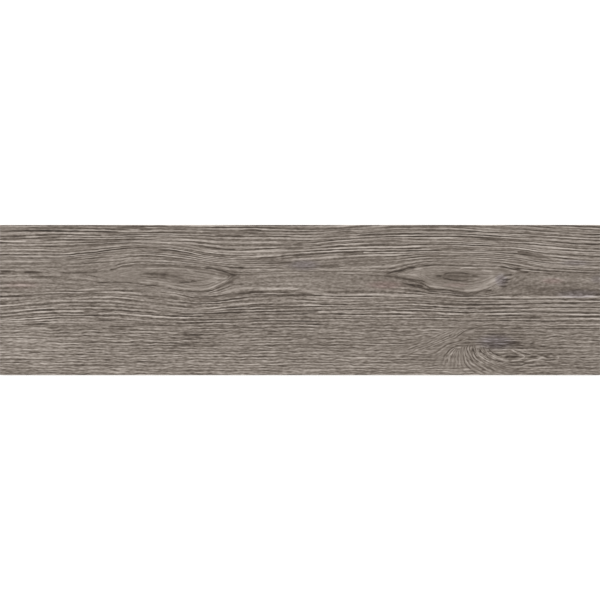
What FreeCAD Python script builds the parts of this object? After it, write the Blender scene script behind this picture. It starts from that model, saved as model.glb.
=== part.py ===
import FreeCAD, Part
import os
from FreeCAD import Vector

# A wood look porcelain plank tile: one dust-pressed, fired piece with ground edges. Millimetres.
# The origin is the centre of the plane that the back ribs stand on. X runs along the plank, Z up to the face.

# Plank
length = 600.0
width = 150.0
thickness = 9.0
face_arris_radius = 0.7
back_chamfer = 1.2

# Key-back: shallow recesses pressed into the back for the adhesive, with ribs between them and a rim all round
rim_width = 8.0
rib_width = 3.5
nominal_recess_size = 20.0
recess_depth = 0.6
recess_corner_bevel = 2.0
recess_wall_run = 0.7


def edges_at(shape, z):
    """The edges of a shape that lie wholly at height z."""
    slack = 1e-6
    return [e for e in shape.Edges if abs(e.BoundBox.ZMin - z) < slack and abs(e.BoundBox.ZMax - z) < slack]


def plank_blank():
    """The pressed slab: square corners, a softened arris round the face and a chamfer round the back."""
    slab = Part.makeBox(length, width, thickness, Vector(-length / 2, -width / 2, 0))
    slab = slab.makeFillet(face_arris_radius, edges_at(slab, thickness))
    return slab.makeChamfer(back_chamfer, edges_at(slab, 0))


def bevelled_rectangle(size_x, size_y, bevel, z):
    """The eight corners of a rectangle about the Z axis at height z, with each corner cut off by a bevel."""
    x = size_x / 2
    y = size_y / 2
    corners = []
    for sx, sy in ((1, 1), (-1, 1), (-1, -1), (1, -1)):
        on_side = Vector(sx * x, sy * (y - bevel), z)
        on_end = Vector(sx * (x - bevel), sy * y, z)
        corners += [on_side, on_end] if sx == sy else [on_end, on_side]
    return corners


def flat_face(corners):
    """A plane face with the given corners."""
    return Part.Face(Part.makePolygon(corners + corners[:1]))


def recess_layout(span):
    """How many recesses fit across a span of the back, the size of each and the pitch between them."""
    room = span - 2 * rim_width + rib_width
    count = max(1, round(room / (nominal_recess_size + rib_width)))
    pitch = room / count
    return count, pitch - rib_width, pitch


def recess_tool(size_x, size_y):
    """One recess as a solid: its eight walls lean in from the mouth at the back to a smaller floor."""
    mouth = bevelled_rectangle(size_x, size_y, recess_corner_bevel, 0)
    floor = bevelled_rectangle(
        size_x - 2 * recess_wall_run,
        size_y - 2 * recess_wall_run,
        recess_corner_bevel - recess_wall_run * (2 - 2 ** 0.5),  # so that all eight walls lean alike
        recess_depth,
    )
    walls = [flat_face([mouth[k - 1], mouth[k], floor[k], floor[k - 1]]) for k in range(len(mouth))]
    return Part.makeSolid(Part.makeShell([flat_face(mouth), flat_face(floor)] + walls))


def recess_field():
    """The whole grid of recesses, centred on the back."""
    count_x, size_x, pitch_x = recess_layout(length)
    count_y, size_y, pitch_y = recess_layout(width)
    tool = recess_tool(size_x, size_y)
    tools = []
    for i in range(count_x):
        for j in range(count_y):
            offset_x = (i - (count_x - 1) / 2) * pitch_x
            offset_y = (j - (count_y - 1) / 2) * pitch_y
            tools.append(tool.translated(Vector(offset_x, offset_y, 0)))
    print("recesses", count_x, "x", count_y, "each", round(size_x, 2), "x", round(size_y, 2), "mm")
    return Part.makeCompound(tools)


def plank_tile():
    """The finished tile: the slab with its key-back pressed in."""
    tile = plank_blank().cut(recess_field())
    return tile.Solids[0]


tile = plank_tile()
print("solid valid", tile.isValid(), "volume mm3", round(tile.Volume, 1), "faces", len(tile.Faces))
os.makedirs("parts", exist_ok=True)
tile.exportStep("parts/plank_tile.step")
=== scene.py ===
import math

import bmesh
import bpy
import numpy as np
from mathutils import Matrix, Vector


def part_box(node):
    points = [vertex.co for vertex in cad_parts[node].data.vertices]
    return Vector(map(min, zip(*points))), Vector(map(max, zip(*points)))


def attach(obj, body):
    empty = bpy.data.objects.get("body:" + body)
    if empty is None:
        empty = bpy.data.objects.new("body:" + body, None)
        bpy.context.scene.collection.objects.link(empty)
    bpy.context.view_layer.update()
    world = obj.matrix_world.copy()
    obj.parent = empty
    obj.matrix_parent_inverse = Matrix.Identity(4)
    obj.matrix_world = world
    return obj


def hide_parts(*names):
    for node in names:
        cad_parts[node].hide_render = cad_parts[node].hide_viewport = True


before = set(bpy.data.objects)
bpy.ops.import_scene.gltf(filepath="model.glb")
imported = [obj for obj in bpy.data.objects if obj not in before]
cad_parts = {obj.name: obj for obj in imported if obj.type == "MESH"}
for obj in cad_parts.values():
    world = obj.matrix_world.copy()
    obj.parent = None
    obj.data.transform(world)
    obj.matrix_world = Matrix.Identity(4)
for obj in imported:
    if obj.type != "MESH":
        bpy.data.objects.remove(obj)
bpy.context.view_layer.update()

mm = 0.001
low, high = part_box("plank_tile")
length, width, thickness = ((b - a) / mm for a, b in zip(low, high))
print("frame loaded, plank", round(length, 2), "x", round(width, 2), "x", round(thickness, 2), "mm")


def toLinear(hexColour):
    parts = [int(hexColour[i:i + 2], 16) / 255 for i in (1, 3, 5)]
    return [c / 12.92 if c <= 0.04045 else ((c + 0.055) / 1.055) ** 2.4 for c in parts] + [1.0]


def addNode(tree, kind, settings={}, inputs={}):
    # settings are the node's own properties, inputs are values, sockets, or nodes for their first output
    node = tree.nodes.new(kind)
    for name, value in settings.items():
        setattr(node, name, value)
    for name, value in inputs.items():
        if isinstance(value, bpy.types.Node):
            value = value.outputs[0]
        if isinstance(value, bpy.types.NodeSocket):
            tree.links.new(value, node.inputs[name])
        else:
            node.inputs[name].default_value = value
    return node


def addObject(name, data):
    made = bpy.data.objects.new(name, data)
    bpy.context.scene.collection.objects.link(made)
    return made


# The maths nodes, and those of their settings that come again and again
maths = "ShaderNodeMath"
times, plus, minus, over, timesPlus = (
    {"operation": name} for name in ("MULTIPLY", "ADD", "SUBTRACT", "DIVIDE", "MULTIPLY_ADD")
)


# The printed oak, laid out in mm: x from the left end of the plank, y down from its upper long edge.
# Growth rings are lines of equal level. Level 0 is the line through both eyes, and opens round each of them.
oak = {
    "linesAbove": {
        -44: [(0, 5.5), (60, 5.7), (120, 6.8), (180, 7), (230, 7), (300, 8.5), (350, 6.5), (400, 4.5),
              (450, 5), (520, 8), (560, 10.5), (600, 12)],
        -34: [(0, 16.3), (60, 16.5), (100, 16), (140, 14.8), (180, 15), (225, 18.5), (240, 19.3),
              (300, 19.3), (340, 15.5), (400, 12.7), (450, 12.7), (520, 17), (560, 20.3), (600, 22.5)],
        -21: [(0, 30.5), (60, 31), (85, 28.5), (110, 25), (140, 22.2), (165, 23), (185, 26), (208, 31),
              (240, 34), (270, 33), (300, 30.2), (340, 27.8), (408, 26), (450, 25.3), (511, 27), (545, 32),
              (600, 36)],
        -10: [(0, 38), (60, 37.6), (105, 34.7), (145, 32), (185, 34.5), (220, 38.5), (250, 40.3),
              (300, 41.2), (345, 40), (390, 38), (412, 35), (430, 33.6), (470, 33), (515, 35.8), (545, 40),
              (570, 41.2), (600, 42)],
    },
    "upperLid": [(0, 46), (40, 46.8), (80, 47.8), (104, 46.5), (114, 44.5), (125, 41.2), (145, 39.5),
                 (170, 39.3), (200, 41.8), (222, 46), (236, 50), (260, 50), (300, 49), (350, 50),
                 (388, 50.3), (400, 47), (412, 42.8), (420, 41), (435, 39.9), (470, 40.7), (500, 41.2),
                 (510, 43.5), (523, 46.2), (560, 49), (600, 51)],
    "lowerLid": [(0, 46), (40, 46.8), (80, 48.8), (100, 53), (120, 57.3), (150, 59.7), (180, 63.8),
                 (198, 66.2), (208, 65), (214, 62.6), (220, 59.8), (226, 56), (231, 52.5), (236, 50),
                 (260, 50), (300, 49), (350, 50), (388, 50.3), (400, 52.3), (410, 54.5), (418, 56.5),
                 (425, 60), (430, 63.2), (450, 65.4), (468, 67.8), (478, 66.6), (486, 64.3), (496, 59.5),
                 (506, 54), (515, 49.4), (523, 46.2), (560, 49), (600, 51)],
    "linesBelow": {
        12: [(0, 64.5), (40, 64), (75, 64.5), (110, 63), (140, 64.7), (175, 68), (200, 72), (212, 72.3),
             (235, 70), (262, 67.6), (300, 68.2), (330, 69.4), (400, 69.8), (440, 71), (468, 72.4),
             (500, 72.5), (550, 72.4), (600, 72.3)],
        23: [(0, 80.5), (25, 79), (60, 76.8), (110, 76.2), (140, 78), (170, 81.4), (200, 84), (240, 81.4),
             (300, 80.2), (360, 80), (420, 80.2), (470, 82), (540, 81), (600, 81)],
        35: [(0, 94), (30, 91.6), (60, 90), (110, 90.5), (175, 93), (230, 92), (270, 91), (300, 91),
             (360, 91.5), (420, 92), (470, 92.6), (540, 93), (600, 93.5)],
        50: [(0, 105), (60, 106), (120, 106), (200, 107), (300, 106), (380, 107), (470, 107), (600, 107)],
        92: [(0, 148), (600, 148)],
    },
    # The swirl: guide lines of its fan and arcs, from the outermost in, each with how many dark lines lie
    # outside it. The pitch is that of the dark lines in its own measure across, which noise is scaled by.
    # Where they would lie closer than crowded, or further apart than sparse, the wood is plain.
    "swirlPitch": 3.2, "swirlCrowded": (0.9, 1.7), "swirlSparse": (4.5, 7.5),
    "swirlFades": {"start": 18, "end": 6, "outside": 6, "inside": 3},
    "swirlWindow": (7, 5), "swirlKept": (0.5, 0.9),  # rows and columns of a mean, and how full it has to be
    "swirlCore": (484, 129, 14, 8, 0.8),  # stronger lines: x, y, half length, half height, how much
    "swirl": [
        (0, [(392, 119.6), (398, 118), (418, 112.5), (434, 107), (448, 102), (460, 98.4), (474, 95.6),
             (488, 95)]),
        (3, [(396, 129), (402, 127), (418, 121), (434, 115), (446, 109.5), (456, 105), (464, 102),
             (474, 99.5), (486, 98)]),
        (6, [(398, 136.4), (404, 134), (420, 127.5), (434, 121.5), (446, 116.5), (454, 113.8), (458, 111),
             (464.7, 106), (473.3, 103.3), (480, 101), (488, 100)]),
        (7, [(414, 144), (424, 136), (432, 129.5), (441.3, 123.3), (447.3, 119.3), (456.7, 117),
             (463.7, 114), (470, 110), (478, 106), (488, 104)]),
        (9, [(436.4, 147.6), (439.4, 142), (442.7, 134.3), (445.7, 129.3), (450.7, 124), (456.7, 120.7),
             (463, 117.6), (469, 115)]),
        (13, [(459, 151), (458.4, 144), (458, 134.3), (458.3, 127.3), (459.5, 122.5), (463, 118.6),
              (468, 116.4)]),
        (15, [(496, 156), (486, 152), (476.7, 148), (468, 142.7), (463.7, 136.5), (462.7, 128.7),
              (462.6, 124), (464.4, 120), (469, 116.8)]),
        (17, [(516, 155), (508, 153), (494, 149), (484, 144.5), (473.3, 137.3), (468.7, 130), (466.7, 126),
              (466.8, 121.5), (470, 117)]),
        (19, [(522, 149.6), (516, 148.5), (504, 146), (494, 142), (486, 138.7), (480, 134.7), (476, 131.3),
              (473.3, 127.3), (472.2, 121), (473.4, 116.6)]),
        (21, [(524, 144.4), (518, 143.6), (506, 141.8), (497, 139), (489.3, 136), (481.3, 131.3),
              (478, 128.3), (476.6, 121), (477.6, 116.4)]),
        (24, [(526, 140.4), (520, 139.6), (510, 138), (502, 136), (494.7, 133.3), (486, 128), (482, 125.3),
              (480, 121.6), (480.8, 117)]),
        (26, [(516, 136), (510, 134.6), (501, 132), (495, 129.4), (489, 125.6), (485.6, 121.6), (485, 118)]),
    ],
    # Each stroke or mark is drawn where it is the nearest, and fades out between these distances from its
    # middle. Its ends fade too: so far outside and inside them for a stroke, and so far along a mark.
    "strokeReach": (1.0, 1.8), "strokeWidth": 0.62, "strokeGap": 1.3,
    "strokeEnds": (3, 5), "markEnds": 5.0,
    # How much calmer they are inside an eye, and more so in the left eye's open end between these two x
    "eyeEdge": 1.5, "eyeCalm": 0.5, "eyeFibreCalm": 0.4, "openEnd": (120, 150), "openEndCalm": 0.7,
    # How strong the growth lines, the streaks and the fibres are, by y: the wood is calmer round the eyes
    "lineVigour": [(0, 1.0), (26, 1.0), (38, 0.6), (62, 0.55), (72, 0.95), (92, 0.95), (102, 0.4),
                   (150, 0.3)],
    "streakVigour": [(0, 1.0), (26, 0.95), (38, 0.65), (62, 0.65), (72, 0.95), (92, 0.9), (105, 0.38),
                     (150, 0.34)],
    "fibreVigour": [(0, 0.7), (26, 0.75), (38, 0.8), (62, 0.8), (72, 0.9), (92, 0.95), (105, 0.84),
                    (150, 0.84)],
}

# Darker and lighter strokes that lie in the grain: x from, x to, y in the middle, width, tone
oak["strokes"] = [
    (25, 118, 6, 0.9, -46), (0, 34, 11.4, 0.8, -30), (30, 64, 10.9, 0.8, -36), (118, 146, 2.6, 0.8, -34),
    (104, 140, 9.8, 1.4, -16), (0, 62, 34.2, 0.9, -34), (62, 82, 33.6, 0.9, -24),
    (0, 22, 46.2, 0.9, -30), (14, 42, 47.2, 1.3, -44), (74, 108, 47.4, 1.1, -36),
    (84, 168, 23.4, 2.0, -22), (160, 200, 27.2, 2.6, -26), (28, 96, 78.8, 0.9, -22),
    (14, 58, 89.0, 0.8, -34), (0, 52, 86.9, 0.8, -16), (24, 47, 99.2, 0.9, -48),
    (97, 114, 95.5, 0.8, -46), (48, 70, 103, 0.9, -24), (76, 96, 103.4, 0.8, -24),
    (110, 134, 101.4, 0.9, -34), (158, 172, 100.5, 0.8, -46), (146, 162, 73.8, 0.8, -28),
    (46, 110, 116.4, 0.8, -22), (182, 202, 110, 0.9, -36), (204, 241, 24.2, 0.8, -40),
    (216, 242, 10.4, 0.9, -36), (238, 258, 25.5, 0.8, -28), (284, 302, 23.4, 0.8, -34),
    (288, 304, 19, 0.7, -34), (322, 352, 11.4, 1.6, -22), (334, 352, 6.6, 0.8, -26),
    (358, 422, 8.6, 0.9, -40), (324, 346, 22.2, 0.8, -26), (292, 366, 28.6, 1.0, -42),
    (262, 292, 38, 1.2, -26), (404, 472, 25.4, 0.9, -40), (404, 458, 12.2, 0.9, -38),
    (468, 518, 11.3, 0.8, -30), (478, 502, 14.6, 0.8, -26), (424, 452, 19.4, 0.8, -24),
    (544, 600, 18.9, 0.9, -46), (514, 548, 29.8, 2.2, -26), (558, 574, 8.9, 0.8, -26),
    (506, 530, 16.4, 0.8, -22), (204, 242, 75.8, 0.9, -28), (198, 228, 71.6, 0.9, -42),
    (226, 312, 67.8, 0.9, -30), (226, 246, 84.5, 0.8, -44), (262, 302, 81.6, 0.8, -34),
    (196, 250, 88.3, 0.9, -38), (250, 318, 86.8, 0.9, -42), (294, 320, 96.5, 0.8, -54),
    (306, 324, 99.3, 0.8, -48), (302, 314, 92.4, 0.8, -32), (318, 348, 79.9, 0.9, -36),
    (368, 392, 82.8, 0.8, -28), (268, 280, 106.8, 0.8, -38), (200, 214, 94, 0.8, -32),
    (228, 250, 102.4, 0.8, -26), (200, 224, 120.4, 1.0, -22), (438, 522, 79.4, 1.0, -40),
    (514, 600, 78.3, 1.0, -40), (482, 600, 74.4, 0.8, -26), (540, 600, 82.4, 0.8, -26),
    (400, 432, 82.8, 0.8, -30), (478, 532, 83.9, 0.8, -34), (488, 600, 86.9, 1.0, -40),
    (480, 600, 76.4, 0.8, 24), (500, 600, 80.6, 0.8, 16), (448, 482, 88.6, 0.8, -24),
    (484, 600, 90.6, 0.9, -30), (490, 600, 84.9, 0.8, 26), (0, 52, 16.3, 0.9, 32),
    (30, 84, 16.6, 0.8, 24), (0, 78, 30.9, 0.9, 28), (0, 52, 36.8, 0.9, 34), (98, 136, 34.2, 0.9, 20),
    (200, 234, 26.3, 0.8, 30), (240, 292, 26.4, 0.8, 30), (318, 342, 31.8, 1.8, 24),
    (350, 402, 30.4, 1.4, 20), (400, 520, 72.4, 0.9, 34), (514, 600, 72.4, 0.9, 38),
    (438, 600, 88.8, 0.8, 30), (538, 600, 92.6, 0.8, 26), (528, 600, 41.3, 1.0, 34),
    (552, 600, 35.8, 0.9, 26), (512, 530, 32, 1.6, 22), (548, 600, 27.4, 0.9, 18),
    (206, 264, 64.6, 1.1, 24), (322, 400, 70.2, 0.9, 28), (8, 34, 115.2, 0.8, 26),
    (346, 368, 132.5, 0.8, 40), (349, 360, 125.5, 0.8, 40), (268, 284, 139.5, 0.8, 36),
    (284, 322, 145, 0.8, 26), (184, 216, 138, 0.8, 22), (240, 262, 139.5, 0.8, 22),
    (138, 149, 132.5, 0.8, 36), (108, 122, 119.5, 0.8, 26), (112, 142, 62.8, 0.9, 18),
    (280, 300, 47.4, 1.2, 16), (58, 106, 10, 0.8, -30), (0, 60, 14, 0.7, -24), (60, 136, 14.4, 0.7, -20),
    (66, 120, 17.3, 0.8, -26), (110, 152, 11.8, 0.8, -30), (138, 200, 7.1, 0.9, -30),
    (128, 141, 5, 0.8, 34), (72, 94, 27.6, 1.2, -30), (84, 108, 32.4, 0.8, -28), (60, 86, 37, 0.9, 26),
    (112, 142, 35.1, 0.8, 20), (110, 122, 37.5, 0.8, -24), (114, 140, 26.8, 0.8, 24),
    (160, 182, 29.4, 1.5, 26), (162, 180, 33.6, 0.9, -28), (146, 168, 35.3, 0.9, 28),
    (30, 60, 51.8, 0.9, -28), (70, 96, 53.4, 1.0, 20), (0, 12, 64, 1.0, -26), (78, 102, 64.6, 1.0, 24),
    (80, 100, 67.8, 0.9, -24), (150, 186, 67, 1.0, 26), (0, 40, 71.8, 0.8, -20),
    (200, 262, 7.4, 0.8, -30), (244, 262, 4.8, 0.8, -30), (256, 290, 10.9, 0.8, -26),
    (262, 300, 8.6, 0.8, 18), (262, 288, 19.9, 0.8, -26), (314, 352, 15.5, 0.8, -34),
    (306, 332, 20.5, 0.8, -28), (360, 390, 19.3, 0.8, -30), (206, 232, 15.2, 0.8, -22),
    (200, 228, 31.4, 0.9, -22), (366, 400, 26.6, 0.9, -26), (318, 346, 40.6, 1.0, -28),
    (342, 368, 39.2, 0.9, -20), (270, 284, 44.2, 0.8, 28), (318, 334, 44.4, 0.8, 28),
    (256, 300, 64, 1.0, 26), (298, 326, 66.6, 0.9, 22), (336, 382, 71.8, 0.8, -22),
    (0, 26, 83.4, 0.8, -28), (82, 114, 86, 0.8, -28), (60, 112, 90.8, 0.8, -28),
    (112, 126, 104.8, 0.8, -24), (134, 154, 99, 0.8, -24), (172, 200, 89.5, 0.8, -34),
    (176, 202, 98.7, 0.8, -30), (180, 192, 107.3, 0.8, -28), (158, 178, 118.3, 0.8, -28),
    (172, 200, 119.7, 0.8, -32), (168, 182, 123, 0.9, -20), (128, 147, 129.6, 0.8, -28),
    (29, 40, 127.6, 0.8, -32), (62, 112, 140.9, 0.8, -26), (38, 56, 135.6, 0.8, -24),
    (36, 53, 137.5, 0.8, 22), (0, 32, 134.7, 0.8, -20), (116, 127, 144.3, 0.8, 26),
    (132, 160, 136.8, 0.8, -24), (46, 66, 118.4, 0.8, 22), (82, 100, 142.8, 0.8, 18),
    (290, 325, 25.4, 0.8, 26), (330, 400, 22.6, 0.8, 26), (240, 282, 36.6, 0.9, -26),
    (200, 266, 38.6, 0.8, 22), (500, 548, 14.8, 0.8, -26), (504, 600, 16.2, 0.8, 24),
    (440, 502, 27, 0.8, 26), (560, 600, 25.6, 0.8, -26), (484, 514, 25.9, 0.8, -26),
    (472, 500, 17.8, 0.8, 22), (250, 290, 19.6, 0.8, -24), (200, 240, 16.6, 0.8, 24),
]
# Wide soft patches: x, y, half length, half height, tone
oak["patches"] = [
    (30, 128, 50, 14, 5), (25, 20, 45, 7, 5), (55, 4, 50, 4, -6), (575, 46, 45, 3.5, -20),
    (572, 66, 40, 4.5, -22), (540, 66, 20, 4, -8), (555, 57, 40, 4, 8), (420, 61, 14, 4, -14),
    (520, 62, 18, 6, -12), (485, 71, 40, 2.5, -12), (385, 46, 16, 4, -16), (20, 56, 24, 5, 10),
    (22, 90, 48, 11, 9), (450, 67, 44, 3, -12), (585, 66, 26, 4, -10), (130, 138, 60, 12, 4),
    (497, 116.5, 32, 7.5, -23), (470, 115, 10, 5, -6), (510, 132.5, 9, 1.6, -26),
    (534, 132.5, 7, 1.2, -18), (230, 48, 9, 2.2, -26), (236, 54, 9, 2.4, -14), (262, 38, 30, 3, -6),
    (330, 58, 60, 8, 2), (470, 34, 60, 4, 2), (70, 7, 28, 7, -9), (225, 23, 26, 7, 12),
    (560, 23, 48, 7, 13), (110, 36, 50, 6, -5), (268, 38, 20, 6, 4), (390, 36, 50, 6, -5),
    (185, 81, 46, 7, -10), (380, 84, 22, 6, 7), (568, 83, 46, 8, 4), (90, 97, 36, 7, 7),
    (235, 103, 76, 15, -11), (440, 97, 110, 7, -8), (350, 120, 60, 9, -5), (550, 126, 60, 11, -11),
    (230, 143, 26, 6, 8), (330, 144, 190, 5, 6), (420, 143, 40, 5, 6), (42, 125, 60, 8, 9),
    (312, 94, 10, 5, 8), (425, 114, 28, 11, 6), (400, 6, 110, 6, -5), (178, 52, 22, 6, -7),
    (578, 37, 22, 6, -7), (580, 104, 22, 13, 6), (125, 68, 28, 5, -6), (425, 67, 26, 4, -5),
]
# Lines with a course of their own, most of them the broken outlines of the eyes: points, width, tone
oak["marks"] = [
    ([(60, 48), (84, 47.6), (100, 46.4), (112, 44.6), (122, 42), (136, 40.6)], 1.0, -26),
    ([(138, 39.4), (160, 40.2), (186, 40.8)], 0.9, -24),
    ([(178, 41.4), (196, 42.4), (206, 43.4)], 0.9, -26),
    ([(200, 43.2), (212, 43.2), (220, 45.4), (228, 47.6)], 1.5, -42),
    ([(226, 49.4), (238, 50.4)], 1.6, -26),
    ([(96, 57.4), (128, 57.4), (144, 60), (158, 61), (168, 62.2)], 0.9, -34),
    ([(164, 62), (180, 65.2), (192, 66.4), (206, 66.4), (216, 64)], 1.1, -40),
    ([(214, 64), (220, 61.8), (228, 58.2), (236, 55.2)], 2.4, -22),
    ([(156, 58.6), (168, 60.4), (184, 63.4), (206, 63.6), (216, 60.6), (226, 56), (232, 52.6)], 1.7, 22),
    ([(186, 44.6), (196, 47.4)], 1.0, 26), ([(212, 52.4), (222, 53.6), (230, 53.4)], 1.2, 34),
    ([(208, 56.4), (222, 57)], 1.0, 20), ([(136, 56.8), (156, 58.4)], 0.9, 22),
    ([(116, 43.6), (134, 43)], 1.0, 20), ([(141, 48.4), (156, 48.8), (170, 49.4)], 1.3, -26),
    ([(146, 52.4), (168, 52.8)], 1.1, -20), ([(170, 50.8), (184, 52.4)], 1.0, -24),
    ([(178, 57.2), (192, 57.4)], 0.9, -34), ([(190, 55.4), (198, 57)], 1.2, -36),
    ([(384, 49.8), (394, 46.8), (402, 45.4), (408, 43), (418, 42)], 1.4, -40),
    ([(420, 40.8), (432, 40.2), (444, 40)], 1.2, -34), ([(444, 40.8), (470, 41), (496, 41.2)], 0.8, -26),
    ([(498, 42), (510, 43.2), (518, 44), (524, 44.4)], 1.2, -38), ([(518, 46.6), (530, 47.6)], 1.5, -34),
    ([(382, 50.6), (394, 51.8), (402, 53.2), (412, 54.6), (420, 55.4), (427, 58)], 1.1, -34),
    ([(400, 57.4), (410, 59.6), (418, 61.6)], 1.5, -34), ([(416, 60.2), (424, 61.6)], 2.0, -34),
    ([(424, 64), (434, 65), (446, 65.2), (456, 67.2), (466, 68.6), (474, 68.4), (482, 66.2), (494, 65)],
     1.2, -34),
    ([(446, 69.6), (462, 71), (476, 70.6)], 1.2, -30), ([(404, 66.2), (424, 67)], 1.0, -26),
    ([(396, 49), (412, 49.8), (420, 51)], 1.3, 20), ([(412, 44.6), (424, 43.6)], 1.2, 22),
    ([(458, 44), (466, 42.8), (478, 42.4)], 1.0, 22), ([(480, 45), (494, 46.6)], 1.2, 26),
    ([(462, 65.4), (472, 65), (482, 62.6), (490, 58), (498, 53.4)], 2.6, 22),
    ([(428, 60.6), (446, 63)], 1.4, 20), ([(434, 50.8), (444, 51.2)], 1.3, -20),
    ([(440, 51.6), (449, 54.4), (460, 55.6), (471, 54)], 0.9, -24),
    ([(441, 50), (450, 48.2), (461, 48), (472, 49.6)], 0.9, -26), ([(470, 50.4), (480, 51.4)], 1.2, -22),
    ([(502, 50.6), (514, 49.6)], 0.9, -38), ([(500, 55), (512, 54.4)], 0.9, -42),
    ([(500, 58), (510, 57.4)], 1.0, -38), ([(498, 61.6), (508, 61)], 1.0, -34),
    ([(502, 52.6), (512, 52)], 0.8, 24), ([(508, 45.6), (518, 46.4)], 1.0, 26),
    # the swirl: the strongest of its arcs and of its fan of lines
    ([(464, 134), (464.6, 138), (469, 143), (478, 149.6)], 0.9, -26),
    ([(468, 128), (471, 133.4), (475, 138)], 0.8, -20),
    ([(473, 120), (473.4, 126), (476, 131.3), (481, 135)], 0.9, -30),
    ([(476.4, 121), (477.2, 127), (481, 131.6), (486, 134.8), (495, 137.8), (506, 138.6)], 0.8, 24),
    ([(479, 122), (480.4, 126.4), (485, 130), (490.7, 133.6), (498, 136), (506, 137)], 0.9, -34),
    ([(484, 124.6), (488, 128.4), (494, 131.6), (501, 134), (509, 135.8)], 0.8, 26),
    ([(486.5, 121.6), (490.4, 126), (496.6, 129.8), (503, 131.8)], 0.8, -32),
    ([(480, 137.4), (485, 140), (490, 143.4), (497, 147)], 0.9, -26),
    ([(480, 136.4), (484, 137.4)], 1.0, 26), ([(480, 144.8), (486, 145)], 0.9, -32),
    ([(499, 141.2), (508, 143.4)], 1.4, -20),
    ([(455, 113.4), (458, 111), (464.7, 106), (473, 103.3), (482, 100.6)], 0.9, -24),
    ([(446, 119.8), (452, 118), (459, 116), (464, 113.8)], 0.8, -22),
    ([(444, 132.6), (446, 129), (450.6, 124), (457, 120.6)], 0.9, -28),
    ([(443.6, 132.6), (446, 127.8)], 2.0, -20), ([(448.6, 110.8), (450.4, 110.6)], 1.4, -24),
    ([(454.6, 126), (450.6, 129), (446, 135)], 0.8, 20),
    # and its rings that end in points on the right
    ([(502, 132.6), (508, 131.6), (514, 132), (520, 131)], 2.0, -22),
    ([(526, 132.8), (532, 132.2), (538, 132.4)], 1.8, -18),
    ([(509, 123.4), (515, 126.8), (519.4, 128.8), (523.4, 130.6), (523.8, 132.4), (520, 134), (516, 135.2),
      (509, 135.9)], 1.1, 32),
    ([(516, 124.6), (526, 127.8), (533, 129.4), (538, 130.8), (543.4, 132.2), (538, 133.8), (532, 135),
      (525, 137)], 1.0, 28),
    ([(509, 125.8), (514, 127.8), (519, 130.4)], 0.9, -28),
    ([(516, 126.4), (523, 128), (530, 130)], 0.9, -30),
    ([(506, 137), (513, 137.2), (521, 136.6), (527, 134.8)], 0.9, -30),
    ([(536, 129), (546, 130.6)], 0.8, -26),
    ([(506, 140), (514, 140.2), (521, 139.8), (527, 138.2), (535, 138.2)], 0.9, -28),
    ([(526, 141.8), (533, 141), (543, 140.4), (550, 139.4), (562, 139.4)], 0.9, -34),
    ([(527, 140), (537, 139.8)], 0.9, 40),
    ([(508, 141.8), (516, 142.2), (522, 141.2), (528, 140.4)], 0.9, 24),
    ([(534, 143.6), (541, 142.6), (549, 140.8)], 0.9, 22),
    ([(540, 135.2), (550, 135.2), (560, 134.8)], 0.9, -26), ([(550, 136.4), (560, 136.4)], 1.1, 22),
    ([(555, 130.6), (558.4, 132.8), (554, 135)], 1.2, 22), ([(552, 128.8), (559, 129.2)], 0.9, 22),
    ([(511, 145), (521, 145)], 0.9, -24), ([(484, 122.2), (495, 122.2), (505, 122)], 0.9, -36),
    ([(486, 109.2), (506, 108.9)], 0.9, -28), ([(511, 102.8), (523, 102.6)], 0.8, -24),
    ([(508, 118.6), (518, 118)], 1.2, -24), ([(546, 103), (560, 103.2), (600, 103.6)], 0.8, -34),
    ([(512, 121), (518, 121.4)], 0.8, -24),
]
# Inside the eyes: the dark pith of each knot, and the pale wood round it, as patches
oak["eyeMarks"] = [
    (160, 50, 24, 4.0, -16), (188, 56, 14, 2.8, -14), (214, 56, 10, 6, 12), (126, 49, 12, 4, 4),
    (457, 51.6, 18, 3.8, -25), (492, 54, 9, 7, 14), (482, 60, 12, 3, 10), (418, 49, 16, 3.5, 7),
    (450, 60, 22, 3, 5), (455, 44, 34, 1.8, 5),
]
# Faint casts of other colours in the ink: x, y, half length, half height, how cool or, below 0, how pink
oak["casts"] = [
    (496, 117, 17, 7, 1.0), (501, 55, 6, 6, 0.9), (304, 40, 14, 5, 0.8), (575, 38, 14, 3, 0.5),
    (578, 69, 22, 4, 0.8), (597, 54, 6, 4, 0.5), (385, 60, 16, 4, -0.7), (552, 56, 10, 3, -0.6),
    (22, 60, 16, 4, -0.4), (456, 60, 12, 2, -0.4),
]
# Where the growth lines are fainter or, below 0, stronger: x, y, half length, half height, how much
oak["calm"] = [
    (66, 50, 66, 11, 0.6), (242, 57, 22, 7, 0.6), (320, 57, 80, 8, 0.78), (340, 66, 50, 5, 0.5),
    (385, 62, 22, 6, 0.4), (556, 58, 50, 10, 0.72), (545, 67, 66, 4.5, 0.8), (522, 50, 15, 4, 0.7),
    (420, 54, 40, 6, 0.3), (345, 37, 60, 5, 0.3), (20, 24, 30, 6, 0.3), (420, 132, 26, 9, 0.5),
    (590, 128, 30, 7, 0.4), (400, 76, 90, 4, 0.2), (500, 124, 120, 28, 0.25), (535, 132, 30, 6, 0.9),
    (492, 108, 18, 12, 0.7), (446, 145, 24, 5, 0.5), (235, 12, 44, 10, 0.4), (370, 38, 36, 8, 0.4),
    (126, 80, 28, 10, 0.35), (275, 97, 26, 7, 0.3), (375, 22, 26, 8, 0.3), (20, 66, 40, 6, 0.3),
    (520, 8, 40, 8, -0.35), (520, 40, 34, 5, -0.4), (50, 97, 60, 8, -0.4), (60, 8, 60, 8, -0.2),
    (176, 35, 24, 6, -0.5), (226, 82, 24, 7, -0.4), (24, 97, 24, 7, -0.4), (476, 22, 24, 7, -0.4),
    (525, 40, 24, 6, -0.3),
]

# The vectors that the face carries for its print, in the order in which they are read
layerNames = ("rings", "figure", "strokes", "swirl", "casts")


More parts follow.
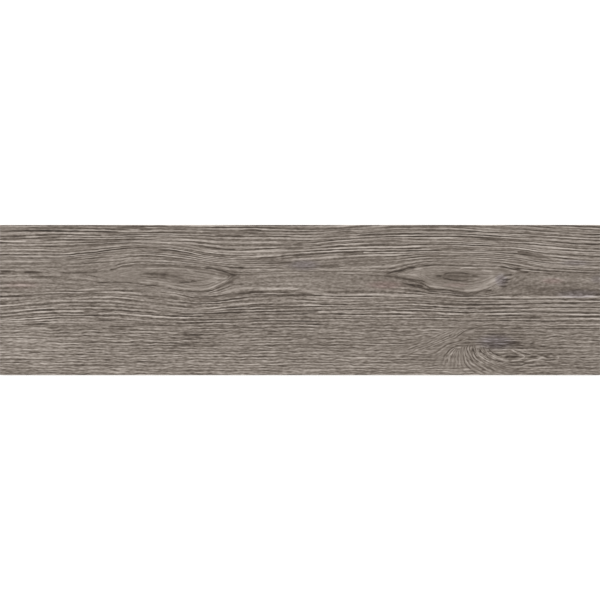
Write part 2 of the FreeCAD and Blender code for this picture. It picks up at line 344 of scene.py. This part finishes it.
def smoothLine(points, x):
    # a soft line through the points that never overshoots them
    px, py = np.array(points, float).T
    x = np.clip(x, px[0], px[-1])
    run = np.diff(px)
    rise = np.diff(py) / run
    slope = np.zeros(len(px))
    product = rise[1:] * rise[:-1]
    slope[1:-1] = np.where(product > 0, 2 * product / np.where(product > 0, rise[1:] + rise[:-1], 1), 0)
    k = np.clip(np.searchsorted(px, x) - 1, 0, len(run) - 1)
    t = (x - px[k]) / run[k]
    return (
        (1 + 2 * t) * (1 - t) ** 2 * py[k]
        + t * (1 - t) ** 2 * slope[k] * run[k]
        + t * t * (3 - 2 * t) * py[k + 1]
        + t * t * (t - 1) * slope[k + 1] * run[k]
    )


def ease(start, end, value):
    # from 0 at the start to 1 at the end, slowly at both
    t = np.clip((value - start) / (end - start), 0, 1)
    return t * t * (3 - 2 * t)


def spot(patch, gx, gy, flatness=1):
    # 1 in the middle of a soft patch; the flatter it is, the further it stays so
    cx, cy, halfLength, halfHeight = patch
    return np.exp(-(((gx - cx) / halfLength) ** 2 + ((gy - cy) / halfHeight) ** 2) ** flatness)


def softCurve(points, steps=10):
    # short steps along a soft curve through the points
    p = np.array(points, float)
    p = np.vstack([2 * p[0] - p[1], p, 2 * p[-1] - p[-2]])
    t = np.linspace(0, 1, steps, endpoint=False)[:, None]
    parts = []
    for k in range(1, len(p) - 2):
        a, b, c, d = p[k - 1:k + 3]
        bend = a - 2.5 * b + 2 * c - 0.5 * d + t * (1.5 * (b - c) + (d - a) / 2)
        parts.append(b + t * ((c - a) / 2 + t * bend))
    return np.vstack(parts + [p[-2:-1]])


def besideCurve(points, gx, gy):
    # each place's distance from the curve, below 0 on its left, how far along it lies, and the whole length
    course = softCurve(points)
    away = np.hypot(gx[..., None] - course[:, 0], gy[..., None] - course[:, 1])
    k = away.argmin(-1)
    heading = np.gradient(course, axis=0)
    heading /= np.hypot(*heading.T)[:, None]
    signed = heading[k, 0] * (gy - course[k, 1]) - heading[k, 1] * (gx - course[k, 0])
    walked = np.concatenate(([0], np.cumsum(np.hypot(*np.diff(course, axis=0).T))))
    return signed, walked[k], walked[-1]


def ringLevels(x, y):
    # growth ring level, and depth inside an eye, for a grid with columns at x and rows at y
    upper = smoothLine(oak["upperLid"], x)
    lower = smoothLine(oak["lowerLid"], x)
    above = np.array([smoothLine(oak["linesAbove"][k], x) for k in sorted(oak["linesAbove"])] + [upper])
    below = np.array([lower] + [smoothLine(oak["linesBelow"][k], x) for k in sorted(oak["linesBelow"])])
    levelsAbove = sorted(oak["linesAbove"]) + [0]
    levelsBelow = [0] + sorted(oak["linesBelow"])
    spare = 20  # the lines go on past the long edges at the same spacing
    levels = [levelsAbove[0] - spare, *levelsAbove, *levelsBelow, levelsBelow[-1] + spare]
    level = np.empty((len(y), len(x)))
    for i in range(len(x)):
        ys = np.concatenate(([above[0, i] - spare], above[:, i], below[:, i], [below[-1, i] + spare]))
        level[:, i] = np.interp(y, ys, levels)
    gx, gy = np.meshgrid(x, y)
    return level, np.maximum(np.minimum(gy - upper, lower - gy), 0)


def runningMean(line, steps):
    window = np.ones(steps)
    return np.convolve(line, window, "same") / np.convolve(np.ones(len(line)), window, "same")


def swirlField(gx, gy):
    # places along and across the swirl's lines, and how far the wood there follows them
    along, across, share = np.zeros_like(gx), np.zeros_like(gx), np.zeros_like(gx)
    narrowest = np.full_like(gx, np.inf)
    fades = oak["swirlFades"]
    guides = [(number, *besideCurve(points, gx, gy)) for number, points in oak["swirl"]]
    for outer, inner in zip(guides, guides[1:]):
        outerNumber, pastOuter, outerWalked, _ = outer
        innerNumber, pastInner, innerWalked, _ = inner
        gap = pastOuter - pastInner
        within = (pastOuter >= 0) & (pastInner < 0) & (gap < narrowest)
        narrowest[within] = gap[within]
        t = pastOuter / np.where(within, gap, 1)
        spacing = gap / (innerNumber - outerNumber)
        here = ease(*oak["swirlCrowded"], spacing) * (1 - ease(*oak["swirlSparse"], spacing))
        for _, _, walked, whole in (outer, inner):
            here *= ease(0, fades["start"], walked) * (1 - ease(whole - fades["end"], whole, walked))
        if outer is guides[0]:
            here *= ease(0, fades["outside"], pastOuter)
        if inner is guides[-1]:
            here *= ease(0, fades["inside"], -pastInner)
        along[within] = (outerWalked * (1 - t) + innerWalked * t)[within]
        across[within] = oak["swirlPitch"] * (outerNumber * (1 - t) + innerNumber * t)[within]
        share[within] = here[within]
    # it also fades out before a guide that has no such wood on its other side, where the mean is about half
    mean = share
    for axis, steps in enumerate(oak["swirlWindow"]):
        mean = np.apply_along_axis(runningMean, axis, mean, steps)
    least = 0.02
    return along, across, share * ease(*oak["swirlKept"], mean / np.maximum(share, least))


def oakFigure(x, y):
    # everything that is slower than the fibres, as vectors for each place
    level, depth = ringLevels(x, y)
    gx, gy = np.meshgrid(x, y)
    swirlAlong, swirlAcross, swirlShare = swirlField(gx, gy)
    offset, strength = np.zeros_like(level), np.zeros_like(level)
    fadeFrom, reach = oak["strokeReach"]
    half, nearest, second = np.ones_like(level), np.full_like(level, reach), np.full_like(level, reach)

    def draw(region, away, along, width, amount):
        near = np.abs(away) / max(1.0, width)
        better = (near < nearest[region]) & (along > 0)
        others = np.where(along > 0, np.minimum(near, second[region]), second[region])
        second[region] = np.where(better, nearest[region], others)
        nearest[region][better] = near[better]
        offset[region][better] = away[better]
        strength[region][better] = (amount * along * (1 - ease(fadeFrom, reach, near)))[better]
        half[region][better] = width * oak["strokeWidth"]

    everywhere = (slice(None), slice(None))
    out, into = oak["strokeEnds"]
    for start, end, middle, width, amount in oak["strokes"]:
        here = level[np.argmin(abs(y - middle)), np.argmin(abs(x - (start + end) / 2))]
        along = ease(start - out, start + into, gx) * (1 - ease(end - into, end + out, gx)) * (depth == 0)
        draw(everywhere, level - here, along, width, amount)
    for points, width, amount in oak["marks"]:
        margin = 3 * reach * max(1.0, width)
        columns, rows = (
            np.flatnonzero((places > min(turns) - margin) & (places < max(turns) + margin))
            for places, turns in zip((x, y), zip(*points))
        )
        region = (slice(rows[0], rows[-1] + 1), slice(columns[0], columns[-1] + 1))
        away, walked, whole = besideCurve(points, gx[region], gy[region])
        fade = min(oak["markEnds"], whole / 3)
        draw(region, away, ease(0, fade, walked) * (1 - ease(whole - fade, whole, walked)), width, amount)
    strength *= ease(0, oak["strokeGap"], second - nearest)  # nothing shows where two of them meet

    inEye = ease(0, oak["eyeEdge"], depth)
    openEnd = inEye * (1 - ease(*oak["openEnd"], gx))
    tone, cast = np.zeros_like(level), np.zeros_like(level)
    settled = (1 - oak["eyeCalm"] * inEye) * (1 - oak["openEndCalm"] * openEnd) * (1 - swirlShare)
    for *patch, amount in oak["patches"] + oak["eyeMarks"]:
        tone += amount * spot(patch, gx, gy)
    for *patch, amount in oak["casts"]:
        cast += amount * spot(patch, gx, gy, 2)
    for *patch, amount in oak["calm"]:
        settled *= 1 - amount * spot(patch, gx, gy, 2)
    lineVigour = smoothLine(oak["lineVigour"], gy) * settled
    streakVigour = smoothLine(oak["streakVigour"], gy) * settled
    fibreVigour = smoothLine(oak["fibreVigour"], gy) * (1 - oak["eyeFibreCalm"] * inEye) * (1 - swirlShare)
    *patch, amount = oak["swirlCore"]
    swirlShare = swirlShare * (1 + amount * spot(patch, gx, gy))
    return {
        "rings": (gx, level, depth),
        "figure": (tone, lineVigour, streakVigour),
        "strokes": (offset, strength, half),
        "swirl": (swirlAlong, swirlAcross, swirlShare),
        "casts": (gy, cast, fibreVigour),
    }


# The face as a sheet over the whole plank: its edges roll over the arris and end where the sides begin
face = {
    "columns": 384, "rows": 224, "arris": 0.7, "arrisSteps": 3,
    "fineFrom": 438, "fineTo": 562, "fineness": 2.1,  # mm from the left end: the swirl's steep lines need it
    # the relief follows a share of the print's tone: how far below where it starts it has its depth, in mm
    "toneShare": 0.5, "reliefFrom": 15.0, "fullDepthTone": 60.0, "reliefDepth": 0.22,
}


def sheetLines(size, count, fine=(0, 0)):
    # lines over the flat, closer together in the fine part, and those of the arris, with how far each drops
    flat = size / 2 - face["arris"]
    turns = np.array([-flat, fine[0], fine[1], flat])
    walked = np.concatenate(([0], np.cumsum(np.diff(turns) * (1, face["fineness"], 1))))
    onFlat = np.interp(np.linspace(0, walked[-1], count + 1), walked, turns)
    angles = [math.pi / 2 * (k + 1) / face["arrisSteps"] for k in range(face["arrisSteps"])]
    out = [flat + face["arris"] * math.sin(a) for a in angles]
    drop = [face["arris"] * (1 - math.cos(a)) for a in angles]
    places = [-p for p in reversed(out)] + list(onFlat) + out
    drops = list(reversed(drop)) + [0.0] * (count + 1) + drop
    return np.array(places), np.array(drops)


def faceSheet():
    fine = (face["fineFrom"] - length / 2, face["fineTo"] - length / 2)
    px, dropX = sheetLines(length, face["columns"], fine)
    py, dropY = sheetLines(width, face["rows"])
    layers = oakFigure(px + length / 2, width / 2 - py)
    gx, gy = np.meshgrid(px, py)
    drop = np.maximum(*np.meshgrid(dropX, dropY))
    points = np.stack([gx, gy, thickness - drop], -1).reshape(-1, 3) * mm
    index = np.arange(points.shape[0]).reshape(gx.shape)
    quads = np.stack([index[:-1, :-1], index[:-1, 1:], index[1:, 1:], index[1:, :-1]], -1).reshape(-1, 4)
    mesh = bpy.data.meshes.new("face_sheet")
    mesh.from_pydata(points.tolist(), [], quads.tolist())
    for name, parts in layers.items():
        made = mesh.attributes.new(name, "FLOAT_VECTOR", "POINT")
        made.data.foreach_set("vector", np.stack(parts, -1).ravel())
    made = mesh.attributes.new("onFlat", "FLOAT", "POINT")
    made.data.foreach_set("value", (1 - drop / face["arris"]).ravel())
    return addObject("face_sheet", mesh)


# The print's patterns. Scales are in mm, along the grain and across it, and tones are steps of grey.
# Long, short and fine are waves over the rings, and fine ones are only in the low band of the plank.
grain = {
    "long": {"pitch": 3.55, "wander": (160, 14), "swing": 7.0, "swell": (100, 4), "tone": 48.0, "seed": 3.1},
    "short": {"pitch": 2.7, "wander": (60, 6), "swing": 4.5, "swell": (30, 2.4), "tone": 54.0, "seed": 17.7},
    "fine": {"pitch": 2.9, "wander": (14, 5), "swing": 4.0, "swell": (7, 2.2), "tone": 48.0, "seed": 52.4},
    "swirl": {"pitch": oak["swirlPitch"], "wander": (18, 7), "swing": 1.0, "swell": (14, 3.4), "tone": 28.0,
              "seed": 33.3},
    "swellGain": 2.6, "swellFrom": 0.6, "swellSeed": 8.6,  # a wave's height from the noise it swells with
    "streak": {"scale": (55, 1.5), "tone": 56.0, "seed": 29.4},
    "fibre": {"scale": (5.2, 0.9), "tone": 60.0, "seed": 41.9},
    "straightFibre": {"scale": (5.2, 0.9), "tone": 56.0, "seed": 12.3},
    "speck": {"scale": (2.4, 0.8), "tone": 58.0, "seed": 83.5},
    "swirlFibre": {"scale": (4, 1.3), "tone": 84.0, "seed": 75.2},
    "band": {"scale": (60, 4.5), "tone": 44.0, "seed": 50.3, "detail": 1.0},
    "cloud": {"scale": (80, 16), "tone": 20.0, "seed": 57.2, "detail": 2.0},
    "ragged": {"scale": (9, 1.6), "tone": 2.0, "seed": 64.8}, "raggedStrokes": 1.1,
    "broken": {"scale": (10, 2.4), "tone": 1.6, "seed": 91.6},
    "lowBand": {"From Min": 94.0, "From Max": 104.0},  # mm from the upper edge
    "bandShare": 1.3,  # less the lines' vigour: broad bands take over where the lines are weak
    "strokeGain": 1.8, "strokeHush": {"From Max": 30.0, "To Min": 1.0, "To Max": 0.35},
}


def grainTone(tree, layers):
    # adds the print's patterns to a tree and gives its tone, as steps of grey from the ground colour
    ring, figure, stroke, swirl, other = (
        addNode(tree, "ShaderNodeSeparateXYZ", {}, {0: layers[name]}).outputs for name in layerNames
    )
    vigour, streakVigour, fibreVigour, swirlShare = figure[1], figure[2], other[2], swirl[2]
    straight = addNode(tree, "ShaderNodeCombineXYZ", {}, {0: ring[0], 1: other[0]})
    across = addNode(tree, maths, plus, {0: ring[1], 1: ring[2]})

    def layered(base, *parts):
        # the base with each part times its share on top of it
        for part, share in parts:
            both = addNode(tree, maths, timesPlus, {0: part, 1: share, 2: base})
            base = both
        return base

    def pattern(scale, seed, place=layers["rings"], detail=0.0):
        # noise from -0.5 to 0.5, stretched along the grain
        scaled = addNode(
            tree, "ShaderNodeVectorMath", timesPlus,
            {0: place, 1: (1 / scale[0], 1 / scale[1], 1 / scale[1]), 2: (seed, seed, seed)},
        )
        made = addNode(
            tree, "ShaderNodeTexNoise", {"noise_dimensions": "3D"},
            {"Vector": scaled, "Scale": 1.0, "Detail": detail, "Roughness": 0.5},
        )
        return addNode(tree, maths, minus, {0: made, 1: 0.5})

    def toned(name, place=layers["rings"]):
        # one of the grain's patterns with its tone
        look = grain[name]
        return pattern(look["scale"], look["seed"], place, look.get("detail", 0.0)), look["tone"]

    ragged = toned("ragged", straight)

    def waves(look, place, height):
        # a wave whose phase wanders and whose height swells, so that its lines merge, fork and fade
        wander = pattern(look["wander"], look["seed"], place)
        rise = (height, 2 * math.pi / look["pitch"])
        phase = layered(-math.pi / 2, rise, ragged, (wander, 2 * look["swing"]))
        wave = addNode(tree, maths, {"operation": "SINE"}, {0: phase})
        size = addNode(
            tree, maths, {"operation": "MULTIPLY_ADD", "use_clamp": True},
            {0: pattern(look["swell"], look["seed"] + grain["swellSeed"], place), 1: grain["swellGain"],
             2: grain["swellFrom"]},
        )
        reach = addNode(tree, maths, times, {0: size, 1: look["tone"]})
        high = addNode(tree, maths, times, {0: wave, 1: reach})
        return high

    longWaves, shortWaves, fineWaves = (
        waves(grain[name], layers["rings"], across) for name in ("long", "short", "fine")
    )
    swirlWaves = waves(grain["swirl"], layers["swirl"], swirl[1])
    inBand = addNode(tree, "ShaderNodeMapRange", {}, {"Value": other[0], **grain["lowBand"]})
    streaks = layered(shortWaves, toned("streak"))
    fibres = layered(
        0.0, (fineWaves, inBand), toned("fibre"), toned("straightFibre", straight), toned("speck"),
    )
    swirls = layered(swirlWaves, toned("swirlFibre", layers["swirl"]))
    wood = layered(
        0.0, (longWaves, vigour), (streaks, streakVigour), (fibres, fibreVigour), (swirls, swirlShare),
    )

    # a stroke is a soft ridge over the distance from its middle, and hushes what is under it
    moved = layered(stroke[0], (ragged[0], grain["raggedStrokes"]))
    away = addNode(tree, maths, over, {0: moved, 1: stroke[2]})
    squared = addNode(tree, maths, times, {0: away, 1: away})
    falling = addNode(tree, maths, times, {0: squared, 1: -1.0})
    ridge = addNode(tree, maths, {"operation": "EXPONENT"}, {0: falling})
    broken = layered(1.0, toned("broken", straight))
    depth = addNode(tree, maths, times, {0: broken, 1: stroke[1]})
    drawn = addNode(tree, maths, times, {0: ridge, 1: depth})
    size = addNode(tree, maths, {"operation": "ABSOLUTE"}, {0: drawn})
    hush = addNode(tree, "ShaderNodeMapRange", {}, {"Value": size, **grain["strokeHush"]})

    band, bandTone = toned("band")
    bandShare = layered(grain["bandShare"], (vigour, -1.0))
    bands = addNode(tree, maths, times, {0: band, 1: bandShare})
    return layered(figure[0], toned("cloud"), (bands, bandTone), (drawn, grain["strokeGain"]), (wood, hush))


# Grey-brown ink over a matte glaze: every tone has the same warm cast, as in one ink set
glaze = {
    "ground": 124.3,
    "tones": {0: "#1a130d", 60: "#463b32", 100: "#6e6359", 125: "#877c72", 160: "#aa9f95", 210: "#d2c7bd"},
    "coolCast": (-4.0, -3.0, 6.0), "pinkCast": (6.0, -4.0, -1.0), "castGain": 0.0176,
    "roughness": {"From Min": 0.3, "From Max": 0.7, "To Min": 0.72, "To Max": 0.56},  # from dark to light
    "bump": 0.16, "ior": 1.5, "specular": 0.4,
}


def newMaterial(name):
    material = bpy.data.materials.new(name)
    material.use_nodes = True
    material.node_tree.nodes.clear()
    return material, material.node_tree


def glazedFace():
    # Inkjet-printed matte glaze on porcelain, fired to stone: dull, slightly silky, no depth to the colour
    material, tree = newMaterial("matte_printed_glaze")
    layers = {
        name: addNode(tree, "ShaderNodeAttribute", {"attribute_name": name}).outputs["Vector"]
        for name in layerNames
    }
    grey = addNode(
        tree, maths, {"operation": "MULTIPLY_ADD", "use_clamp": True},
        {0: grainTone(tree, layers), 1: 1 / 255, 2: glaze["ground"] / 255},
    )
    ramp = addNode(tree, "ShaderNodeValToRGB", {}, {0: grey})
    stops = ramp.color_ramp.elements
    while len(stops) < len(glaze["tones"]):
        stops.new(0.5)
    for stop, (level, colour) in zip(stops, sorted(glaze["tones"].items())):
        stop.position = level / 255
        stop.color = toLinear(colour)
    cast = addNode(tree, "ShaderNodeSeparateXYZ", {}, {0: layers["casts"]})
    colour = ramp
    for gain, shift in ((1.0, glaze["coolCast"]), (-1.0, glaze["pinkCast"])):
        amount = addNode(
            tree, maths, {"operation": "MULTIPLY", "use_clamp": True}, {0: cast.outputs[1], 1: gain},
        )
        tinted = addNode(
            tree, "ShaderNodeMix", {"data_type": "RGBA", "blend_type": "MULTIPLY"},
            {"Factor": amount, 6: colour, 7: [1 + glaze["castGain"] * c for c in shift] + [1.0]},
        )
        colour = tinted.outputs[2]
    rough = addNode(tree, "ShaderNodeMapRange", {}, {"Value": grey, **glaze["roughness"]})
    bump = addNode(
        tree, "ShaderNodeBump", {}, {"Height": grey, "Strength": 1.0, "Distance": glaze["bump"] * mm},
    )
    shader = addNode(
        tree, "ShaderNodeBsdfPrincipled", {},
        {"Base Color": colour, "Roughness": rough, "Normal": bump,
         "IOR": glaze["ior"], "Specular IOR Level": glaze["specular"]},
    )
    addNode(tree, "ShaderNodeOutputMaterial", {}, {"Surface": shader})
    return material


# The unglazed body shows on the ground sides and on the back, where pale kiln wash is left on the ribs
body = {
    "clay": "#b3a592", "clayDark": "#9c8e7c", "wash": "#d2cabb",
    "washZone": {"From Min": 0.3, "From Max": 0.05, "To Max": 0.75},  # by height over the ribs' plane, in mm
    "grit": {"Scale": 1 / 0.9, "Detail": 3.0, "Roughness": 0.6},  # grains of 0.9 mm
    "mottle": {"Scale": 0.03, "Detail": 3.0, "Roughness": 0.5},  # patches of about 30 mm
    "grindRun": 50.0, "grindPitch": 0.35, "grind": {"Scale": 1.0, "Detail": 2.0},  # mm along the sides and up
    "bump": 0.08, "bumpStrength": 0.6, "roughness": 0.85, "specular": 0.3,
}


def firedBody():
    # Bare fired porcelain: chalky and matte, with fine grit, and grinding marks along the sides
    material, tree = newMaterial("bare_fired_porcelain")
    place = addNode(tree, "ShaderNodeTexCoord")
    inMm = addNode(
        tree, "ShaderNodeVectorMath", {"operation": "SCALE"}, {0: place.outputs["Object"], "Scale": 1 / mm},
    )
    grit = addNode(tree, "ShaderNodeTexNoise", {}, {"Vector": inMm, **body["grit"]})
    mottle = addNode(tree, "ShaderNodeTexNoise", {}, {"Vector": inMm, **body["mottle"]})
    marks = addNode(
        tree, "ShaderNodeVectorMath", times,
        {0: inMm, 1: (1 / body["grindRun"], 1 / body["grindRun"], 1 / body["grindPitch"])},
    )
    grind = addNode(tree, "ShaderNodeTexNoise", {}, {"Vector": marks, **body["grind"]})
    clay = addNode(
        tree, "ShaderNodeMix", {"data_type": "RGBA"},
        {"Factor": grit, 6: toLinear(body["clayDark"]), 7: toLinear(body["clay"])},
    )
    split = addNode(tree, "ShaderNodeSeparateXYZ", {}, {0: inMm})
    onRib = addNode(tree, "ShaderNodeMapRange", {}, {"Value": split.outputs[2], **body["washZone"]})
    patchy = addNode(tree, maths, {"operation": "MULTIPLY", "use_clamp": True}, {0: onRib, 1: mottle})
    washed = addNode(
        tree, "ShaderNodeMix", {"data_type": "RGBA"},
        {"Factor": patchy, 6: clay.outputs[2], 7: toLinear(body["wash"])},
    )
    uneven = addNode(tree, maths, plus, {0: grit, 1: grind})
    bump = addNode(
        tree, "ShaderNodeBump", {},
        {"Height": uneven, "Strength": body["bumpStrength"], "Distance": body["bump"] * mm},
    )
    shader = addNode(
        tree, "ShaderNodeBsdfPrincipled", {},
        {"Base Color": washed.outputs[2], "Roughness": body["roughness"], "Normal": bump,
         "Specular IOR Level": body["specular"]},
    )
    addNode(tree, "ShaderNodeOutputMaterial", {}, {"Surface": shader})
    return material


def reliefTree(material):
    # Geometry Nodes: presses the print's dark lines into the face, then gives it the glaze
    tree = bpy.data.node_groups.new("pressed_relief", "GeometryNodeTree")
    tree.interface.new_socket("Geometry", in_out="INPUT", socket_type="NodeSocketGeometry")
    tree.interface.new_socket("Geometry", in_out="OUTPUT", socket_type="NodeSocketGeometry")
    for name in ("Relief depth", "Full depth tone", "Relief from", "Tone share"):
        tree.interface.new_socket(name, in_out="INPUT", socket_type="NodeSocketFloat")
    inlet = addNode(tree, "NodeGroupInput")
    attribute = "GeometryNodeInputNamedAttribute"
    layers = {
        name: addNode(tree, attribute, {"data_type": "FLOAT_VECTOR"}, {"Name": name})
        for name in layerNames
    }
    onFlat = addNode(tree, attribute, {"data_type": "FLOAT"}, {"Name": "onFlat"})
    share = addNode(tree, maths, times, {0: grainTone(tree, layers), 1: inlet.outputs["Tone share"]})
    raised = addNode(tree, maths, minus, {0: share, 1: inlet.outputs["Relief from"]})
    depth = addNode(tree, maths, over, {0: raised, 1: inlet.outputs["Full depth tone"]})
    within = addNode(tree, "ShaderNodeClamp", {}, {0: depth, 1: -1.0, 2: 0.0})
    onFace = addNode(tree, maths, times, {0: within, 1: onFlat})
    sink = addNode(tree, maths, times, {0: onFace, 1: inlet.outputs["Relief depth"]})
    offset = addNode(tree, "ShaderNodeCombineXYZ", {}, {2: sink})
    moved = addNode(
        tree, "GeometryNodeSetPosition", {}, {"Geometry": inlet.outputs["Geometry"], "Offset": offset},
    )
    real = addNode(tree, "GeometryNodeRealizeInstances", {}, {0: moved})
    glazed = addNode(tree, "GeometryNodeSetMaterial", {}, {0: real, "Material": material})
    addNode(tree, "NodeGroupOutput", {}, {0: glazed})
    return tree


def setInputs(modifier, values):
    # a modifier's inputs are set by their sockets' identifiers
    for item in modifier.node_group.interface.items_tree:
        if item.in_out == "INPUT" and item.name in values:
            modifier[item.identifier] = values[item.name]


def evaluated(obj, name):
    # the modifiers' result as a plain mesh
    graph = bpy.context.evaluated_depsgraph_get()
    mesh = bpy.data.meshes.new_from_object(obj.evaluated_get(graph), depsgraph=graph)
    mesh.name = name
    old = obj.data
    bpy.data.objects.remove(obj)
    if old.users == 0:
        bpy.data.meshes.remove(old)
    return mesh


# How the face, the sides and the back are joined, in mm and degrees
joining = {"weld": 0.001, "backBelow": 2.0, "close": 0.01, "sharpFrom": 35}


def backOfTile(shell):
    # the back, its key recesses and its chamfer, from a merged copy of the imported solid
    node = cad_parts["plank_tile"]
    source = node if hasattr(node, "data") else bpy.data.objects["plank_tile"]
    copy = bmesh.new()
    copy.from_mesh(source.data)
    bmesh.ops.remove_doubles(copy, verts=copy.verts, dist=joining["weld"] * mm)
    spare = [f for f in copy.faces if max(v.co.z for v in f.verts) > joining["backBelow"] * mm]
    bmesh.ops.delete(copy, geom=spare, context="FACES")
    mesh = bpy.data.meshes.new("back")
    copy.to_mesh(mesh)
    copy.free()
    shell.from_mesh(mesh)
    bpy.data.meshes.remove(mesh)


def addSides(shell):
    # one face for each ground side, from the row of face vertices at its top to the back's at its bottom
    rims = {v for e in shell.edges if e.is_boundary for v in e.verts}
    for axis, sign in ((0, 1), (1, 1), (0, -1), (1, -1)):
        reach = sign * (length, width)[axis] / 2 * mm
        onSide = sorted(
            (v for v in rims if abs(v.co[axis] - reach) < joining["close"] * mm),
            key=lambda v: v.co[1 - axis],
        )
        top = [v for v in onSide if v.co.z > thickness * mm / 2]
        bottom = [v for v in onSide if v.co.z <= thickness * mm / 2]
        side = shell.faces.new(bottom + top[::-1])
        side.material_index = 1


def tile():
    materials = [glazedFace(), firedBody()]
    sheet = faceSheet()
    relief = sheet.modifiers.new("relief", "NODES")
    relief.node_group = reliefTree(materials[0])
    setInputs(relief, {
        "Relief depth": face["reliefDepth"] * mm, "Full depth tone": face["fullDepthTone"],
        "Relief from": face["reliefFrom"], "Tone share": face["toneShare"],
    })
    faceMesh = evaluated(sheet, "face")
    print("face made,", len(faceMesh.polygons), "quads")

    shell = bmesh.new()
    shell.from_mesh(faceMesh)
    backOfTile(shell)
    for f in shell.faces:
        f.material_index = 0 if f.calc_center_median().z > thickness * mm / 2 else 1
    addSides(shell)
    bmesh.ops.recalc_face_normals(shell, faces=shell.faces)
    openEdges = sum(1 for e in shell.edges if not e.is_manifold)
    mesh = bpy.data.meshes.new("glazed_plank")
    shell.to_mesh(mesh)
    shell.free()
    for material in materials:
        mesh.materials.append(material)
    mesh.shade_smooth()
    mesh.set_sharp_from_angle(angle=math.radians(joining["sharpFrom"]))
    piece = addObject("glazed_plank", mesh)
    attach(piece, "root")
    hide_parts("plank_tile")
    triangles = sum(len(p.vertices) - 2 for p in mesh.polygons)
    print("tile made,", triangles, "triangles,", openEdges, "open edges")


# A plain studio: pale floor, a white surround, and soft light from above and a little from the upper left
studio = {
    "floorSize": 14.0, "floorDrop": 0.02, "floorColour": "#f2f2f2", "floorGlow": 0.5, "surround": 0.53,
    "keyPower": 27.5, "keySize": 1.8, "keyPlace": (-0.45, 0.4, 2.5),
    "lens": 200.0, "sensor": 36.0, "framedWidth": 599.2,  # the floor's drop and the framed width are in mm
}


def floorMaterial():
    # Matte white paper: white to the camera where it is fully lit, and it still takes the tile's shadow
    material, tree = newMaterial("white_paper")
    paper = addNode(tree, "ShaderNodeBsdfDiffuse", {}, {"Color": toLinear(studio["floorColour"])})
    glow = addNode(tree, "ShaderNodeEmission", {}, {"Color": (1, 1, 1, 1), "Strength": studio["floorGlow"]})
    lit = addNode(tree, "ShaderNodeAddShader", {}, {0: paper, 1: glow})
    rays = addNode(tree, "ShaderNodeLightPath")
    seen = addNode(
        tree, maths, {"operation": "MAXIMUM"},
        {0: rays.outputs["Is Camera Ray"], 1: rays.outputs["Is Glossy Ray"]},
    )
    mixed = addNode(tree, "ShaderNodeMixShader", {}, {0: seen, 1: paper, 2: lit})
    addNode(tree, "ShaderNodeOutputMaterial", {}, {"Surface": mixed})
    return material


def makeStudio():
    scene = bpy.context.scene
    half = studio["floorSize"] / 2
    floor = bpy.data.meshes.new("floor")
    corners = [(-half, -half, 0), (half, -half, 0), (half, half, 0), (-half, half, 0)]
    floor.from_pydata(corners, [], [(0, 1, 2, 3)])
    floor.materials.append(floorMaterial())
    floorObject = addObject("floor", floor)
    floorObject.location.z = -studio["floorDrop"] * mm

    key = bpy.data.lights.new("key", "AREA")
    key.shape = "SQUARE"
    key.size = studio["keySize"]
    key.energy = studio["keyPower"]
    keyObject = addObject("key", key)
    keyObject.location = studio["keyPlace"]
    keyObject.rotation_mode = "QUATERNION"
    keyObject.rotation_quaternion = keyObject.location.to_track_quat("Z", "Y")

    world = bpy.data.worlds.new("surround")
    world.use_nodes = True
    tree = world.node_tree
    tree.nodes.clear()
    rays = addNode(tree, "ShaderNodeLightPath")
    strength = addNode(
        tree, "ShaderNodeMapRange", {},
        {"Value": rays.outputs["Is Camera Ray"], "To Min": studio["surround"], "To Max": 1.0},
    )
    sky = addNode(tree, "ShaderNodeBackground", {}, {"Color": (1, 1, 1, 1), "Strength": strength})
    addNode(tree, "ShaderNodeOutputWorld", {}, {"Surface": sky})
    scene.world = world

    camera = bpy.data.cameras.new("camera")
    camera.sensor_width = studio["sensor"]
    camera.lens = studio["lens"]
    cameraObject = addObject("camera", camera)
    distance = studio["framedWidth"] * mm * studio["lens"] / studio["sensor"]
    cameraObject.location = (0, 0, thickness * mm + distance)  # straight above, with +Y up in the image
    scene.camera = cameraObject
    scene.view_settings.view_transform = "Standard"


makeStudio()
print("studio made")
tile()
